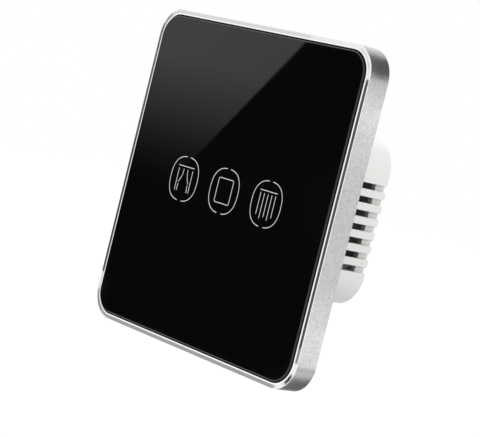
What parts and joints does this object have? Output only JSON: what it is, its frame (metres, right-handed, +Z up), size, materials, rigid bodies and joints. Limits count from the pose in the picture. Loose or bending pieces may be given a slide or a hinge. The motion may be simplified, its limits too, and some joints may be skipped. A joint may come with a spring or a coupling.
{
  "type": "flush touch curtain switch",
  "caption": "Square glass-fronted touch switch in a slim metal frame, with a finned plastic box behind it for flush mounting in a wall.",
  "frame": {"origin": "midway between the two wall screws, in the plane of the wall's face", "axes": "+X right and +Z up as seen from the front, +Y into the wall"},
  "size_m": [0.086, 0.0319, 0.086],
  "materials": {
    "back_printed_glass": "gloss",
    "clear_adhesive": "matte",
    "frame_aluminium": "satin",
    "white_plastic": "satin",
    "plated_steel": "satin",
    "spring_steel": "gloss",
    "green_board": "satin",
    "light_lens": "gloss",
    "black_moulding": "matte",
    "shield_tin": "satin",
    "gold_pins": "gloss",
    "relay_case": "gloss",
    "ferrite": "matte",
    "winding_tape": "satin",
    "capacitor_sleeve": "satin",
    "film_case": "satin",
    "fuse_case": "satin",
    "varistor_coat": "satin",
    "terminal_grey": "satin",
    "contact_brass": "satin"
  },
  "bodies": {
    "base": {"mounting_plate": "plated_steel", "housing_screws": "plated_steel", "rear_housing": "white_plastic", "touch_board": "green_board", "light_baffle": "white_plastic", "status_leds": "light_lens", "touch_springs": "spring_steel", "touch_controller": "black_moulding", "radio_module": "green_board", "radio_shield": "shield_tin", "pin_header": "black_moulding", "header_pins": "gold_pins", "pin_socket": "black_moulding", "board_spacers": "black_moulding", "board_screws": "plated_steel", "power_board": "green_board", "relay_open": "relay_case", "relay_close": "relay_case", "transformer_core": "ferrite", "transformer_coil": "winding_tape", "transformer_base": "black_moulding", "input_capacitor": "capacitor_sleeve", "output_capacitor": "capacitor_sleeve", "film_capacitor": "film_case", "board_fuse": "fuse_case", "varistor": "varistor_coat", "bridge_rectifier": "black_moulding", "terminal_block": "terminal_grey", "terminal_contacts": "contact_brass"},
    "front_panel": {"glass_panel": "back_printed_glass", "glass_adhesive": "clear_adhesive", "metal_frame": "frame_aluminium", "panel_tray": "black_moulding"},
    "clamp_cage_1": {"terminal_cage_1": "plated_steel"},
    "clamp_screw_1": {"terminal_screw_1": "plated_steel"},
    "clamp_cage_2": {"terminal_cage_2": "plated_steel"},
    "clamp_screw_2": {"terminal_screw_2": "plated_steel"},
    "clamp_cage_3": {"terminal_cage_3": "plated_steel"},
    "clamp_screw_3": {"terminal_screw_3": "plated_steel"},
    "clamp_cage_4": {"terminal_cage_4": "plated_steel"},
    "clamp_screw_4": {"terminal_screw_4": "plated_steel"}
  },
  "joints": [
    {"name": "panel_pull", "type": "slide", "parent": "base", "child": "front_panel", "axis": [0, -1, 0], "range_m": [0, 0.02]},
    {"name": "screw_turn_1", "type": "hinge", "parent": "base", "child": "clamp_screw_1", "pos_m": [-0.0114, 0.0232, -0.01605], "axis": [0, -1, 0], "range_deg": [0, 3030]},
    {"name": "cage_rise_1", "type": "slide", "parent": "base", "child": "clamp_cage_1", "axis": [0, 1, 0], "range_m": [0, 0.0042]},
    {"name": "screw_turn_2", "type": "hinge", "parent": "base", "child": "clamp_screw_2", "pos_m": [-0.0038, 0.0232, -0.01605], "axis": [0, -1, 0], "range_deg": [0, 3030]},
    {"name": "cage_rise_2", "type": "slide", "parent": "base", "child": "clamp_cage_2", "axis": [0, 1, 0], "range_m": [0, 0.0042]},
    {"name": "screw_turn_3", "type": "hinge", "parent": "base", "child": "clamp_screw_3", "pos_m": [0.0038, 0.0232, -0.01605], "axis": [0, -1, 0], "range_deg": [0, 3030]},
    {"name": "cage_rise_3", "type": "slide", "parent": "base", "child": "clamp_cage_3", "axis": [0, 1, 0], "range_m": [0, 0.0042]},
    {"name": "screw_turn_4", "type": "hinge", "parent": "base", "child": "clamp_screw_4", "pos_m": [0.0114, 0.0232, -0.01605], "axis": [0, -1, 0], "range_deg": [0, 3030]},
    {"name": "cage_rise_4", "type": "slide", "parent": "base", "child": "clamp_cage_4", "axis": [0, 1, 0], "range_m": [0, 0.0042]}
  ],
  "couplings": [
    {"joint": "screw_turn_1", "follows": "cage_rise_1", "rad_per_m": 12566},
    {"joint": "screw_turn_2", "follows": "cage_rise_2", "rad_per_m": 12566},
    {"joint": "screw_turn_3", "follows": "cage_rise_3", "rad_per_m": 12566},
    {"joint": "screw_turn_4", "follows": "cage_rise_4", "rad_per_m": 12566}
  ]
}
